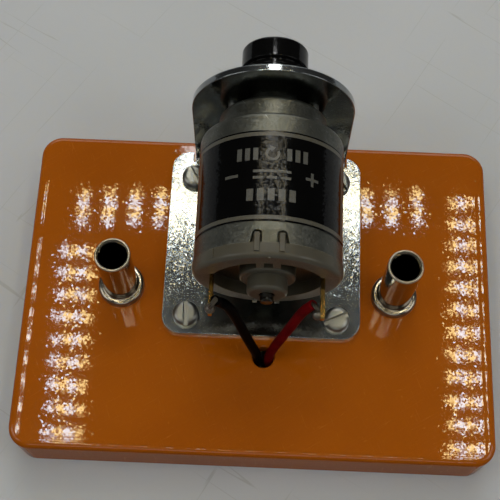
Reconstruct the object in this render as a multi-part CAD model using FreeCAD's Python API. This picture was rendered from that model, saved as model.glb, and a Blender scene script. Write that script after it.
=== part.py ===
"""Demonstration electric motor on a moulded base, in millimetres.

X runs to the right, Y away from the viewer (from the motor's terminals to its pulley) and Z up.
Every place below is measured on the ground, from the midpoint between the two sockets. The last
section moves the whole part so that its origin lies under the middle of the object's outline.
"""
import FreeCAD
import Part
import math
import os

RIGHT = FreeCAD.Vector(1, 0, 0)
BACK = FreeCAD.Vector(0, 1, 0)
UP = FreeCAD.Vector(0, 0, 1)
FULL_TURN = 360.0
SQUARE_TURN = 90.0

# Clearances and the overrun that every cut runs past a face
overrun = 1.0
snug_clearance = 0.01
shortest_edge = 0.001
bearing_clearance = 0.03
screw_clearance = 0.12
brush_clearance = 0.03
washer_clearance = 0.1

# Base, a hollow moulding that is open below
base_width = 75.0
base_depth = 53.2
base_height = 9.4
base_corner_radius = 3.4
base_edge_radius = 1.0
base_wall = 2.0
base_top_wall = 2.6
base_inner_radius = 1.4
base_back_margin = 2.6
base_rib_width = 1.2
base_rib_from_socket = 6.8
base_rib_drop = 1.6

# Bracket, one sheet that is bent up at the back
bracket_sheet = 1.0
bracket_plate_x = 0.7
bracket_plate_width = 31.5
bracket_front = -7.8
bracket_back = 24.0
bracket_corner_radius = 3.0
bracket_bend_radius = 0.8
bracket_slit = 0.4
upright_width = 25.0

# Screws that hold the bracket, with their washers and nuts below the base's top
screw_spacing_x = 23.8
screw_spacing_y = 23.9
screw_front = -4.8
screw_radius = 1.2
screw_tail = 1.1
screw_end_edge = 0.3
screw_head_radius = 2.05
screw_head_height = 1.5
screw_head_edge = 0.8
screw_slot_width = 0.75
screw_slot_depth = 0.75
screw_slot_angles = [92.0, 24.0, -57.0, -50.0]
screw_washer_radius = 2.7
screw_washer_height = 0.5
screw_nut_width = 5.0
screw_nut_height = 2.0

# Motor axis and the can's steps, from the front edge to the boss that seats on the bracket
motor_x = 1.3
motor_above_plate = 16.5
can_radius = 10.8
can_wall = 0.8
can_front = -2.8
can_shoulder = 17.4
can_shoulder_edge = 0.8
can_step_width = 2.6
can_step_end = 21.5
can_step_edge = 0.7
can_boss_radius = 4.0
can_boss_lip = 0.5
can_boss_hole_radius = 1.7
can_tab_width = 2.3
can_tab_lean = 0.55
can_slot_depth = 1.9
can_slot_width = 1.15
can_slot_flare = 0.4
can_slot_corner = 0.5

# Screws that hold the can to the bracket
motor_screw_offset = 6.0
motor_screw_radius = 1.0
motor_screw_head_radius = 1.9
motor_screw_head_height = 1.2
motor_screw_head_edge = 0.5
motor_screw_slot_width = 0.5
motor_screw_slot_depth = 0.55
motor_screw_slot_turn = 30.0
motor_screw_reach = 0.6
shaft_hole_radius = 2.2

# Label round the top of the can
label_thickness = 0.1
label_front = 0.35
label_back = 14.2
label_half_angle = 77.0

# End cap of the motor, with its hub, the two claws over the hub and the moulding's gate marks
cap_overhang = 0.15
cap_edge = 0.7
cap_ring_front = -4.0
cap_crescent_front = -4.9
cap_crescent_height = 3.3
cap_ring_width = 2.65
cap_floor_front = -2.1
cap_floor_back = -0.9
cap_spigot_back = 1.6
cap_spigot_wall = 1.1
cap_step_radius = 4.1
cap_step_front = -4.3
cap_step_edge = 0.4
cap_hub_radius = 2.95
cap_hub_front = -6.6
cap_hub_edge = 0.5
cap_hub_hole_radius = 1.15
cap_claw_span = 3.4
cap_claw_gap = 1.3
cap_claw_reach = 1.85
cap_key_width = 0.72
cap_key_front = -4.1
cap_key_height = 0.1
cap_mark_width = 0.4
cap_mark_length = 1.2
cap_mark_height = 0.12
cap_side_mark_angle = 45.0

# Brass terminals in the cap, and the brushes that they feed
terminal_offset = 8.0
terminal_thickness = 0.6
terminal_height = 1.8
terminal_front = -10.0
terminal_back = 2.3
terminal_tip_radius = 0.6
terminal_eye_radius = 0.4
terminal_eye_inset = 1.0
leaf_thickness = 0.2
leaf_front = 0.1
leaf_width = 2.0
leaf_foot_height = 0.9
leaf_low_reach = 4.2
leaf_low_inset = 2.6
leaf_tip_height = 1.7
leaf_bend_radius = 0.6
carbon_height = 1.6
carbon_width = 1.5
carbon_length = 1.25

# Magnets and their spring clip
magnet_thickness = 2.59
magnet_front = 2.6
magnet_length = 13.0
magnet_angle = 116.0
clip_width = 0.8
clip_thickness = 0.9
clip_gap_angle = 1.5

# Rotor: shaft, core, coils, commutator, spacer and washers
shaft_radius = 1.0
shaft_front = -7.8
shaft_back = 33.0
shaft_edge = 0.2
air_gap = 0.4
core_front = 4.6
core_length = 9.0
core_hub_radius = 2.5
core_stem_width = 2.4
core_shoe_thickness = 1.3
core_shoe_angle = 98.0
pole_count = 3
insulator_thickness = 0.3
coil_thickness = 1.4
coil_end_thickness = 1.3
coil_root_radius = 2.8
coil_edge = 0.6
commutator_radius = 2.4
commutator_hub_radius = 1.9
commutator_front = -0.3
commutator_length = 2.9
commutator_gap_angle = 14.0
commutator_tab_radius = 3.2
commutator_tab_length = 0.4
commutator_tab_angle = 35.0
spacer_radius = 1.6
thrust_washer_radius = 2.1
thrust_washer_thickness = 0.4

# Bearings at both ends
front_bearing_radius = 2.2
front_bearing_front = -5.8
front_bearing_length = 3.4
rear_bearing_length = 2.8

# Pulley on the back end of the shaft
pulley_radius = 5.2
pulley_near_radius = 5.05
pulley_front = 26.1
pulley_back = 33.5
pulley_groove_front = 29.1
pulley_groove_width = 1.1
pulley_groove_depth = 0.45
pulley_edge = 0.35
pulley_recess_radius = 4.1
pulley_recess_depth = 2.2
pulley_hub_radius = 2.1
pulley_hub_length = 1.0

# Sockets for 4 mm plugs, with what holds them and feeds them below the base's top
socket_spacing = 43.8
socket_radius = 2.7
socket_height = 13.9
socket_lip = 0.18
socket_bore_radius = 2.1
socket_bore_depth = 19.5
socket_mouth_radius = 2.42
socket_mouth_depth = 0.4
socket_collar_radius = 3.65
socket_collar_height = 1.3
socket_collar_edge = 0.6
socket_collar_root = 0.35
socket_shank_radius = 2.45
socket_shank_end_height = 1.2
socket_washer_radius = 4.0
socket_washer_height = 0.6
socket_nut_width = 8.0
socket_nut_height = 2.2
tag_thickness = 0.4
tag_ring_radius = 3.9
tag_tail_length = 8.0
tag_tail_width = 2.4
tag_tail_corner = 0.8
tag_eye_radius = 0.6
tag_angle = 60.0

# Leads through the one hole in the base, and the bare wire and solder at their ends
lead_hole_x = 1.3
lead_hole_y = -10.9
lead_hole_radius = 1.7
lead_hole_edge = 0.25
lead_diameter = 1.5
strand_diameter = 0.7
solder_radius = 0.75
tag_solder_radius = 1.0

# Routes of the leads, from the motor's terminal to the socket's tag, with heights above the base's top
black_route = [
    (-5.95, -8.8, 20.7), (-5.75, -8.55, 19.5), (-4.5, -8.5, 18.3), (-3.6, -8.8, 16.0),
    (-2.75, -9.25, 12.9), (-1.7, -9.95, 8.9), (-0.65, -10.5, 5.0), (0.2, -10.8, 1.5),
    (0.5, -10.9, -1.5), (0.3, -10.95, -4.1), (-1.2, -11.3, -5.6), (-4.2, -11.9, -6.1),
    (-8.2, -12.1, -6.1), (-12.0, -11.6, -6.0), (-15.2, -10.3, -5.6), (-16.9, -8.6, -4.95),
]
red_route = [
    (8.0, -7.95, 18.1), (6.95, -8.15, 16.5), (6.1, -8.5, 14.1), (5.0, -9.15, 10.2),
    (3.6, -9.85, 6.0), (2.45, -10.55, 2.2), (2.06, -10.9, -1.5), (2.3, -10.95, -4.1),
    (3.9, -11.2, -5.6), (6.9, -11.7, -6.1), (10.4, -12.0, -6.1), (13.5, -11.4, -5.9),
    (15.7, -10.2, -5.5), (16.9, -8.6, -4.95),
]
black_top_strand = [(-5.95, -8.8, 20.7), (-6.25, -9.25, 20.7), (-6.6, -9.6, 19.8), (-6.7, -9.35, 18.6)]
red_top_strand = [(8.0, -7.95, 18.1), (8.35, -8.3, 18.35), (8.6, -8.8, 18.2), (8.6, -9.35, 17.7)]
black_tag_strand = [(-16.9, -8.6, -4.95), (-17.45, -7.9, -4.6), (-17.75, -7.3, -4.2)]
red_tag_strand = [(16.9, -8.6, -4.95), (17.45, -7.9, -4.6), (17.75, -7.3, -4.2)]
straight_turn = math.radians(0.5)
run_share = 0.45

# Places that follow from the sizes above
base_underside = base_height - base_top_wall
base_back = bracket_back + base_back_margin
base_front = base_back - base_depth
plate_top = base_height + bracket_sheet
motor_height = plate_top + motor_above_plate
upright_front = bracket_back - bracket_sheet
screw_places = [
    (bracket_plate_x + side * screw_spacing_x / 2, screw_front + row * screw_spacing_y)
    for row in (0, 1) for side in (-1, 1)
]
can_inner_radius = can_radius - can_wall
can_step_radius = can_radius - can_step_width
step_inner_radius = can_step_radius - can_wall
cap_radius = can_radius + cap_overhang
cap_recess_radius = cap_radius - cap_ring_width
magnet_outer_radius = can_inner_radius - snug_clearance
magnet_inner_radius = magnet_outer_radius - magnet_thickness
core_radius = magnet_inner_radius - air_gap
boss_inner_radius = can_boss_radius - can_wall
core_back = core_front + core_length
spacer_front = core_back + insulator_thickness
rear_bearing_back = upright_front - can_boss_lip
rear_bearing_front = rear_bearing_back - rear_bearing_length
rear_washer_front = rear_bearing_front - washer_clearance - thrust_washer_thickness
front_bearing_back = front_bearing_front + front_bearing_length
core_stem_end = core_radius - core_shoe_thickness
screw_nut_bottom = base_underside - screw_washer_height - screw_nut_height
screw_end = screw_nut_bottom - screw_tail
socket_top = base_height + socket_height
tag_top = base_underside - socket_washer_height
tag_bottom = tag_top - tag_thickness


def point(x, y, z):
    return FreeCAD.Vector(x, y, z)


def above_base(place):
    """The point at a place whose height counts from the base's top."""
    return point(place[0], place[1], base_height + place[2])


def corner_edges(before, corner, after, radius):
    """Where the arc at a corner starts, its middle and its end, in two dimensions."""
    back = (before[0] - corner[0], before[1] - corner[1])
    ahead = (after[0] - corner[0], after[1] - corner[1])
    back_length = math.hypot(*back)
    ahead_length = math.hypot(*ahead)
    back = (back[0] / back_length, back[1] / back_length)
    ahead = (ahead[0] / ahead_length, ahead[1] / ahead_length)
    half = math.acos(max(-1, min(1, back[0] * ahead[0] + back[1] * ahead[1]))) / 2
    reach = radius / math.tan(half)
    middle = (back[0] + ahead[0], back[1] + ahead[1])
    middle_length = math.hypot(*middle)
    sink = radius / math.sin(half) - radius
    start = (corner[0] + back[0] * reach, corner[1] + back[1] * reach)
    end = (corner[0] + ahead[0] * reach, corner[1] + ahead[1] * reach)
    centre = (corner[0] + middle[0] / middle_length * sink, corner[1] + middle[1] / middle_length * sink)
    return start, centre, end


def outline_face(corners, place):
    """A flat face from corners (u, v, radius), each rounded by its radius, put in space by place(u, v)."""
    edges = []
    stops = []
    count = len(corners)
    for index, (u, v, radius) in enumerate(corners):
        before = corners[index - 1][:2]
        after = corners[(index + 1) % count][:2]
        if radius > 0:
            stops.append(corner_edges(before, (u, v), after, radius))
        else:
            stops.append(((u, v), None, (u, v)))
    for index, (start, middle, end) in enumerate(stops):
        if middle is not None:
            edges.append(Part.Arc(place(*start), place(*middle), place(*end)).toShape())
        next_start = stops[(index + 1) % count][0]
        if math.dist(end, next_start) > shortest_edge:
            edges.append(Part.LineSegment(place(*end), place(*next_start)).toShape())
    return Part.Face(Part.Wire(edges))


def slab(corners, low, high):
    """An outline in plan, from height low to height high."""
    return outline_face(corners, lambda x, y: point(x, y, low)).extrude(UP * (high - low))


def rectangle(left, right, front, back, radius=0):
    return [(left, front, radius), (right, front, radius), (right, back, radius), (left, back, radius)]


def block(left, right, front, back, low, high):
    return slab(rectangle(left, right, front, back), low, high)


def upright_rod(radius, x, y, low, high):
    return Part.makeCylinder(radius, high - low, point(x, y, low), UP)


def level_rod(radius, x, z, front, back):
    """A cylinder along Y."""
    return Part.makeCylinder(radius, back - front, point(x, front, z), BACK)


def turned_upright(corners, x, y):
    """A turned piece on an upright axis, from corners (radius, height, rounding)."""
    face = outline_face(corners, lambda r, z: point(x + r, y, z))
    return face.revolve(point(x, y, 0), UP, FULL_TURN)


def turned(corners, angle=FULL_TURN, middle_angle=0):
    """A turned piece on the motor's axis, from corners (radius, y, rounding).

    A part turn is centred on middle_angle, which counts from straight up, clockwise from the front.
    """
    face = outline_face(corners, lambda r, y: point(motor_x, y, motor_height + r))
    centre = point(motor_x, 0, motor_height)
    if angle < FULL_TURN:
        face.rotate(centre, BACK, middle_angle - angle / 2)
    return face.revolve(centre, BACK, angle)


def ring(inner, outer, front, back, angle=FULL_TURN, middle_angle=0):
    corners = [(inner, front, 0), (outer, front, 0), (outer, back, 0), (inner, back, 0)]
    return turned(corners, angle, middle_angle)


def about_motor(shape, angle):
    """A copy turned about the motor's axis."""
    copy = shape.copy()
    copy.rotate(point(motor_x, 0, motor_height), BACK, angle)
    return copy


def mirrored(shape):
    """The copy on the other side of the upright plane through the motor's axis."""
    return shape.mirror(point(motor_x, 0, 0), RIGHT)


def hexagon(across_flats, x, y, low, high):
    sides = 6
    reach = across_flats / 2 / math.cos(math.pi / sides)
    angles = [2 * math.pi * side / sides for side in range(sides)]
    corners = [(x + reach * math.cos(a), y + reach * math.sin(a), 0) for a in angles]
    return slab(corners, low, high)


def bent_strip(path, thickness, front, back, bend_radius):
    """A strip of even thickness whose middle follows path, a list of (x, z), from front to back."""
    sides = ([], [])
    last = len(path) - 1
    for index, (x, z) in enumerate(path):
        first = path[max(index - 1, 0)]
        second = path[min(index + 1, last)]
        normals = []
        for start, end in ((first, (x, z)), ((x, z), second)):
            length = math.dist(start, end)
            if length > 0:
                normals.append(((start[1] - end[1]) / length, (end[0] - start[0]) / length))
        across = (sum(n[0] for n in normals), sum(n[1] for n in normals))
        size = across[0] ** 2 + across[1] ** 2
        reach = thickness * len(normals) / 2 / size
        inside = 0 < index < last
        for side, sign in zip(sides, (1, -1)):
            radius = bend_radius if inside else 0
            side.append((x + sign * across[0] * reach, z + sign * across[1] * reach, radius))
    corners = sides[0] + sides[1][::-1]
    return outline_face(corners, lambda x, z: point(x, front, z)).extrude(BACK * (back - front))


def rounded_edges(shape, radius, chosen):
    """The shape with the edges that chosen(edge) picks rounded off."""
    return shape.makeFillet(radius, [edge for edge in shape.Edges if chosen(edge)])


def lies_at_height(edge, height):
    return all(abs(vertex.Z - height) < snug_clearance for vertex in edge.Vertexes)


def tube(route, diameter, name):
    """A tube along straight runs joined by tangent arcs, each as large as its two runs allow."""
    points = [above_base(place) for place in route]
    edges = []
    radii = []
    reached = points[0]
    for before, corner, after in zip(points, points[1:], points[2:]):
        back = before - corner
        ahead = after - corner
        shorter = min(back.Length, ahead.Length)
        back.normalize()
        ahead.normalize()
        turn = math.pi - back.getAngle(ahead)
        if turn < straight_turn:
            continue
        reach = run_share * shorter
        radius = reach / math.tan(turn / 2)
        middle = back + ahead
        middle.normalize()
        start = corner + back * reach
        end = corner + ahead * reach
        crown = corner + middle * (radius / math.cos(turn / 2) - radius)
        edges.append(Part.LineSegment(reached, start).toShape())
        edges.append(Part.Arc(start, crown, end).toShape())
        radii.append(radius)
        reached = end
    edges.append(Part.LineSegment(reached, points[-1]).toShape())
    path = Part.Wire(edges)
    heading = points[1] - points[0]
    end_ring = Part.Wire(Part.makeCircle(diameter / 2, points[0], heading))
    solid = path.makePipeShell([end_ring], True, False)
    expected = math.pi * diameter ** 2 / 4 * path.Length
    print(f"{name}: length {path.Length:.1f}, volume over section times length {solid.Volume / expected:.4f},"
          f" radii {' '.join(f'{radius:.1f}' for radius in radii)}")
    return solid


def make_base():
    body = slab(rectangle(-base_width / 2, base_width / 2, base_front, base_back,
                          base_corner_radius), 0, base_height)
    body = rounded_edges(body, base_edge_radius, lambda edge: lies_at_height(edge, base_height))
    half_width = base_width / 2 - base_wall
    inner_front = base_front + base_wall
    inner_back = base_back - base_wall
    hollow = slab(rectangle(-half_width, half_width, inner_front, inner_back, base_inner_radius),
                  -overrun, base_underside)
    body = body.cut(hollow)
    for side in (-1, 1):
        rib_x = side * (socket_spacing / 2 + base_rib_from_socket)
        rib = block(rib_x - base_rib_width / 2, rib_x + base_rib_width / 2, inner_front, inner_back,
                    base_underside - base_rib_drop, base_underside)
        body = body.fuse(rib)
        body = body.cut(upright_rod(socket_shank_radius + screw_clearance, side * socket_spacing / 2, 0,
                                    -overrun, base_height + overrun))
    for x, y in screw_places:
        body = body.cut(upright_rod(screw_radius + screw_clearance, x, y, -overrun, base_height + overrun))
    body = body.cut(upright_rod(lead_hole_radius, lead_hole_x, lead_hole_y, -overrun,
                                base_height + overrun))
    body = body.removeSplitter()
    return rounded_edges(body, lead_hole_edge, lambda edge: lies_at_height(edge, base_height)
                         and abs(edge.CenterOfMass.x - lead_hole_x) < lead_hole_radius
                         and abs(edge.CenterOfMass.y - lead_hole_y) < lead_hole_radius)


def make_bracket():
    plate = slab(rectangle(bracket_plate_x - bracket_plate_width / 2,
                           bracket_plate_x + bracket_plate_width / 2,
                           bracket_front, bracket_back, bracket_corner_radius), base_height, plate_top)
    left = motor_x - upright_width / 2
    right = motor_x + upright_width / 2
    bend_front = upright_front - bracket_bend_radius
    plate = plate.cut(block(left - bracket_slit, right + bracket_slit, bend_front,
                            bracket_back + overrun, base_height - overrun, plate_top + overrun))
    outer_bend = bracket_bend_radius + bracket_sheet
    side_view = [
        (bend_front, base_height, 0), (bracket_back, base_height, outer_bend),
        (bracket_back, motor_height, 0), (upright_front, motor_height, 0),
        (upright_front, plate_top, bracket_bend_radius), (bend_front, plate_top, 0),
    ]
    strip = outline_face(side_view, lambda y, z: point(left, y, z)).extrude(RIGHT * upright_width)
    crown = level_rod(upright_width / 2, motor_x, motor_height, upright_front, bracket_back)
    bracket = plate.fuse(strip).fuse(crown)
    for x, y in screw_places:
        bracket = bracket.cut(upright_rod(screw_radius + screw_clearance, x, y,
                                          base_height - overrun, plate_top + overrun))
    bracket = bracket.cut(level_rod(shaft_hole_radius, motor_x, motor_height,
                                    upright_front - overrun, bracket_back + overrun))
    for side in (-1, 1):
        bracket = bracket.cut(level_rod(motor_screw_radius + screw_clearance,
                                        motor_x + side * motor_screw_offset, motor_height,
                                        upright_front - overrun, bracket_back + overrun))
    return bracket.removeSplitter()


def make_bracket_screw(x, y, slot_angle):
    head_top = plate_top + screw_head_height
    screw = turned_upright([
        (0, screw_end, 0), (screw_radius, screw_end, screw_end_edge),
        (screw_radius, plate_top, 0), (screw_head_radius, plate_top, 0),
        (screw_head_radius, head_top, screw_head_edge), (0, head_top, 0)], x, y)
    slot = block(x - screw_head_radius - overrun, x + screw_head_radius + overrun,
                 y - screw_slot_width / 2, y + screw_slot_width / 2,
                 head_top - screw_slot_depth, head_top + overrun)
    slot.rotate(point(x, y, 0), UP, slot_angle)
    return screw.cut(slot)


def make_bracket_washer(x, y):
    low = base_underside - screw_washer_height
    washer = upright_rod(screw_washer_radius, x, y, low, base_underside)
    return washer.cut(upright_rod(screw_radius + screw_clearance, x, y, low - overrun,
                                  base_underside + overrun))


def make_bracket_nut(x, y):
    high = screw_nut_bottom + screw_nut_height
    nut = hexagon(screw_nut_width, x, y, screw_nut_bottom, high)
    return nut.cut(upright_rod(screw_radius + snug_clearance, x, y, screw_nut_bottom - overrun,
                               high + overrun))


def can_slot_outline(side):
    """One slot beside the crimped tab, in plan, seen from above the can."""
    inner = motor_x + side * can_tab_width / 2
    outer = inner + side * can_slot_width
    mouth = outer + side * can_slot_flare
    end = can_front + can_slot_depth
    return [(inner, can_front - overrun, 0), (mouth, can_front - overrun, 0), (mouth, can_front, 0),
            (outer, end, can_slot_corner), (inner, end, can_slot_corner)]


def make_can():
    can = turned([
        (can_inner_radius, can_front, 0), (can_radius, can_front, 0),
        (can_radius, can_shoulder, can_shoulder_edge), (can_step_radius, can_shoulder, 0),
        (can_step_radius, can_step_end, can_step_edge), (can_boss_radius, can_step_end, 0),
        (can_boss_radius, upright_front, 0), (can_boss_hole_radius, upright_front, 0),
        (can_boss_hole_radius, rear_bearing_back, 0), (boss_inner_radius, rear_bearing_back, 0),
        (boss_inner_radius, can_step_end - can_wall, 0), (step_inner_radius, can_step_end - can_wall, 0),
        (step_inner_radius, can_shoulder - can_wall, 0), (can_inner_radius, can_shoulder - can_wall, 0)])
    tab_root = can_front + can_slot_depth
    tab_low = can_radius - can_wall
    half_tab = can_tab_width / 2
    slots = [slab(can_slot_outline(side), motor_height, motor_height + can_radius + overrun)
             for side in (-1, 1)]
    slots.append(block(motor_x - half_tab - snug_clearance, motor_x + half_tab + snug_clearance,
                       can_front - overrun, tab_root, motor_height, motor_height + can_radius + overrun))
    tab = turned([
        (tab_low, tab_root, 0), (tab_low - can_tab_lean, can_front, 0),
        (tab_low - can_tab_lean + can_wall, can_front, 0), (can_radius, tab_root, 0)],
        math.degrees(can_tab_width / can_radius))
    for turn in (0, 2 * SQUARE_TURN):
        for slot in slots:
            can = can.cut(about_motor(slot, turn))
        can = can.fuse(about_motor(tab, turn))
    for side in (-1, 1):
        can = can.cut(level_rod(motor_screw_radius, motor_x + side * motor_screw_offset, motor_height,
                                can_step_end - can_wall - overrun, can_step_end + overrun))
    return can.removeSplitter()


def make_motor_screw(side):
    x = motor_x + side * motor_screw_offset
    head_back = bracket_back + motor_screw_head_height
    tip = can_step_end - can_wall - motor_screw_reach
    screw = level_rod(motor_screw_radius, x, motor_height, tip, bracket_back)
    head = level_rod(motor_screw_head_radius, x, motor_height, bracket_back, head_back)
    head = rounded_edges(head, motor_screw_head_edge,
                         lambda edge: all(abs(v.Y - head_back) < snug_clearance for v in edge.Vertexes)
                         and edge.Curve.TypeId == "Part::GeomCircle")
    half_slot = motor_screw_slot_width / 2
    reach = motor_screw_head_radius + overrun
    slot = block(x - reach, x + reach, head_back - motor_screw_slot_depth, head_back + overrun,
                 motor_height - half_slot, motor_height + half_slot)
    slot.rotate(point(x, 0, motor_height), BACK, side * motor_screw_slot_turn)
    return screw.fuse(head).cut(slot).removeSplitter()


def make_label():
    return ring(can_radius, can_radius + label_thickness, label_front, label_back, 2 * label_half_angle)


def make_cap():
    spigot_radius = can_inner_radius - snug_clearance
    spigot_inner = spigot_radius - cap_spigot_wall
    cap = turned([
        (cap_recess_radius, cap_ring_front, 0), (cap_radius, cap_ring_front, cap_edge),
        (cap_radius, can_front, 0), (spigot_radius, can_front, 0), (spigot_radius, cap_spigot_back, 0),
        (spigot_inner, cap_spigot_back, 0), (spigot_inner, cap_floor_back, 0), (0, cap_floor_back, 0),
        (0, cap_floor_front, 0), (cap_recess_radius, cap_floor_front, 0)])
    crescent = turned([
        (cap_recess_radius, cap_crescent_front, 0), (cap_radius, cap_crescent_front, cap_edge),
        (cap_radius, can_front, 0), (cap_recess_radius, can_front, 0)])
    crescent = crescent.common(block(
        motor_x - cap_radius - overrun, motor_x + cap_radius + overrun, cap_crescent_front - overrun,
        can_front, motor_height + cap_crescent_height, motor_height + cap_radius + overrun))
    hub = turned([
        (0, cap_hub_front, 0), (cap_hub_radius, cap_hub_front, cap_hub_edge),
        (cap_hub_radius, cap_step_front, 0), (cap_step_radius, cap_step_front, cap_step_edge),
        (cap_step_radius, cap_floor_front, 0), (0, cap_floor_front, 0)])
    cap = cap.fuse(crescent).fuse(hub)
    for side in (-1, 1):
        inner = motor_x + side * cap_claw_gap / 2
        outer = motor_x + side * cap_claw_span / 2
        cap = cap.fuse(block(min(inner, outer), max(inner, outer), cap_crescent_front, cap_floor_front,
                             motor_height + cap_recess_radius - cap_claw_reach,
                             motor_height + cap_recess_radius + cap_edge))
    side_mark = block(motor_x - cap_mark_width / 2, motor_x + cap_mark_width / 2,
                      cap_ring_front - cap_mark_height, cap_ring_front - cap_mark_height + cap_mark_length,
                      motor_height + cap_recess_radius + cap_edge,
                      motor_height + cap_radius + cap_mark_height)
    front_mark = block(motor_x - cap_mark_width / 2, motor_x + cap_mark_width / 2,
                       cap_crescent_front - cap_mark_height, can_front,
                       motor_height + cap_radius - cap_edge / 2 - cap_mark_length,
                       motor_height + cap_radius - cap_edge / 2)
    cap = cap.fuse(about_motor(side_mark, -cap_side_mark_angle)).fuse(front_mark)
    key_offset = (can_tab_width + can_slot_width) / 2
    key_top = motor_height + cap_radius + cap_key_height
    tab_sag = math.sqrt((can_inner_radius - can_tab_lean) ** 2 - (can_tab_width / 2) ** 2)
    tab_pocket_low = motor_height + tab_sag - snug_clearance
    for turn in (0, 2 * SQUARE_TURN):
        for side in (-1, 1):
            x = motor_x + side * key_offset
            key = block(x - cap_key_width / 2, x + cap_key_width / 2, cap_key_front,
                        can_front + can_slot_depth - can_slot_corner,
                        motor_height + spigot_inner + cap_spigot_wall / 2, key_top)
            cap = cap.fuse(about_motor(key, turn))
        pocket = block(motor_x - can_tab_width / 2 - snug_clearance,
                       motor_x + can_tab_width / 2 + snug_clearance, can_front,
                       can_front + can_slot_depth, tab_pocket_low, key_top + overrun)
        cap = cap.cut(about_motor(pocket, turn))
    cap = cap.cut(level_rod(front_bearing_radius, motor_x, motor_height, front_bearing_front,
                            cap_floor_back + overrun))
    cap = cap.cut(level_rod(cap_hub_hole_radius, motor_x, motor_height, cap_hub_front - overrun,
                            front_bearing_front + overrun))
    for side in (-1, 1):
        x = motor_x + side * terminal_offset
        cap = cap.cut(block(x - terminal_thickness / 2 - snug_clearance,
                            x + terminal_thickness / 2 + snug_clearance,
                            cap_crescent_front - overrun, cap_floor_back + overrun,
                            motor_height - terminal_height / 2 - snug_clearance,
                            motor_height + terminal_height / 2 + snug_clearance))
    return cap.removeSplitter()


def make_right_terminal():
    left = motor_x + terminal_offset - terminal_thickness / 2
    low = motor_height - terminal_height / 2
    high = motor_height + terminal_height / 2
    corners = [(terminal_front, low, terminal_tip_radius), (terminal_back, low, 0),
               (terminal_back, high, 0), (terminal_front, high, terminal_tip_radius)]
    blade = outline_face(corners, lambda y, z: point(left, y, z)).extrude(RIGHT * terminal_thickness)
    eye = Part.makeCylinder(terminal_eye_radius, terminal_thickness + 2 * overrun,
                            point(left - overrun, terminal_front + terminal_eye_inset, motor_height),
                            RIGHT)
    return blade.cut(eye)


def leaf_path():
    """The right leaf's middle line, from its foot on the blade round to the commutator."""
    foot_x = motor_x + terminal_offset - terminal_thickness / 2 - leaf_thickness / 2
    contact_x = motor_x + commutator_radius + brush_clearance + carbon_length + leaf_thickness / 2
    return [
        (foot_x, motor_height + leaf_foot_height), (foot_x, motor_height - leaf_foot_height),
        (motor_x + terminal_offset - leaf_low_inset, motor_height - leaf_low_reach),
        (contact_x, motor_height - leaf_low_reach + leaf_foot_height),
        (contact_x, motor_height + leaf_tip_height),
    ]


def make_right_leaf():
    return bent_strip(leaf_path(), leaf_thickness, leaf_front, leaf_front + leaf_width, leaf_bend_radius)


def make_right_carbon():
    inner = motor_x + commutator_hub_radius
    outer = motor_x + commutator_radius + brush_clearance + carbon_length
    middle = leaf_front + leaf_width / 2
    carbon = block(inner, outer, middle - carbon_width / 2, middle + carbon_width / 2,
                   motor_height - carbon_height / 2, motor_height + carbon_height / 2)
    return carbon.cut(level_rod(commutator_radius + brush_clearance, motor_x, motor_height,
                                middle - carbon_width, middle + carbon_width))


def make_right_magnet():
    return ring(magnet_inner_radius, magnet_outer_radius, magnet_front, magnet_front + magnet_length,
                magnet_angle, SQUARE_TURN)


def make_magnet_clip():
    """A spring clip in the lower gap, which spreads the magnets against the can."""
    gap_angle = 2 * SQUARE_TURN - magnet_angle - 2 * clip_gap_angle
    outer = magnet_outer_radius
    inner = outer - clip_thickness
    back = magnet_front + magnet_length
    legs = []
    leg_angle = math.degrees(clip_width / outer)
    for side in (-1, 1):
        middle = 2 * SQUARE_TURN + side * (gap_angle - leg_angle) / 2
        legs.append(ring(inner, outer, magnet_front, back - clip_width, leg_angle, middle))
    bow = ring(inner, outer, back - clip_width, back, gap_angle, 2 * SQUARE_TURN)
    return bow.fuse(legs[0]).fuse(legs[1]).removeSplitter()


def make_shaft():
    return turned([
        (0, shaft_front, 0), (shaft_radius - shaft_edge, shaft_front, 0),
        (shaft_radius, shaft_front + shaft_edge, 0), (shaft_radius, shaft_back - shaft_edge, 0),
        (shaft_radius - shaft_edge, shaft_back, 0), (0, shaft_back, 0)])


def pole_shape(front, back):
    """The three-pole outline of the core, which its end insulators share."""
    shape = level_rod(core_hub_radius, motor_x, motor_height, front, back)
    stem = block(motor_x - core_stem_width / 2, motor_x + core_stem_width / 2, front, back,
                 motor_height, motor_height + core_stem_end + core_shoe_thickness / 2)
    shoe = ring(core_stem_end, core_radius, front, back, core_shoe_angle)
    for pole in range(pole_count):
        turn = FULL_TURN * pole / pole_count
        shape = shape.fuse(about_motor(stem, turn)).fuse(about_motor(shoe, turn))
    shape = shape.cut(level_rod(shaft_radius, motor_x, motor_height, front - overrun, back + overrun))
    return shape.removeSplitter()


def make_coil(pole):
    inner_half = core_stem_width / 2
    outer_half = inner_half + coil_thickness
    front = core_front - insulator_thickness
    back = core_back + insulator_thickness
    top = core_stem_end
    low = motor_height + coil_root_radius
    coil = slab(rectangle(motor_x - outer_half, motor_x + outer_half, front - coil_end_thickness,
                          back + coil_end_thickness, coil_end_thickness), low, motor_height + top)
    coil = rounded_edges(coil, coil_edge, lambda edge: lies_at_height(edge, low))
    window = block(motor_x - inner_half, motor_x + inner_half, front, back, low - overrun,
                   motor_height + top + overrun)
    shoe_space = level_rod(core_stem_end, motor_x, motor_height, front - 2 * coil_end_thickness,
                           back + 2 * coil_end_thickness)
    coil = coil.cut(window).common(shoe_space)
    return about_motor(coil, FULL_TURN * pole / pole_count)


def make_commutator_hub():
    return ring(shaft_radius, commutator_hub_radius, commutator_front,
                core_front - insulator_thickness)


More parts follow.
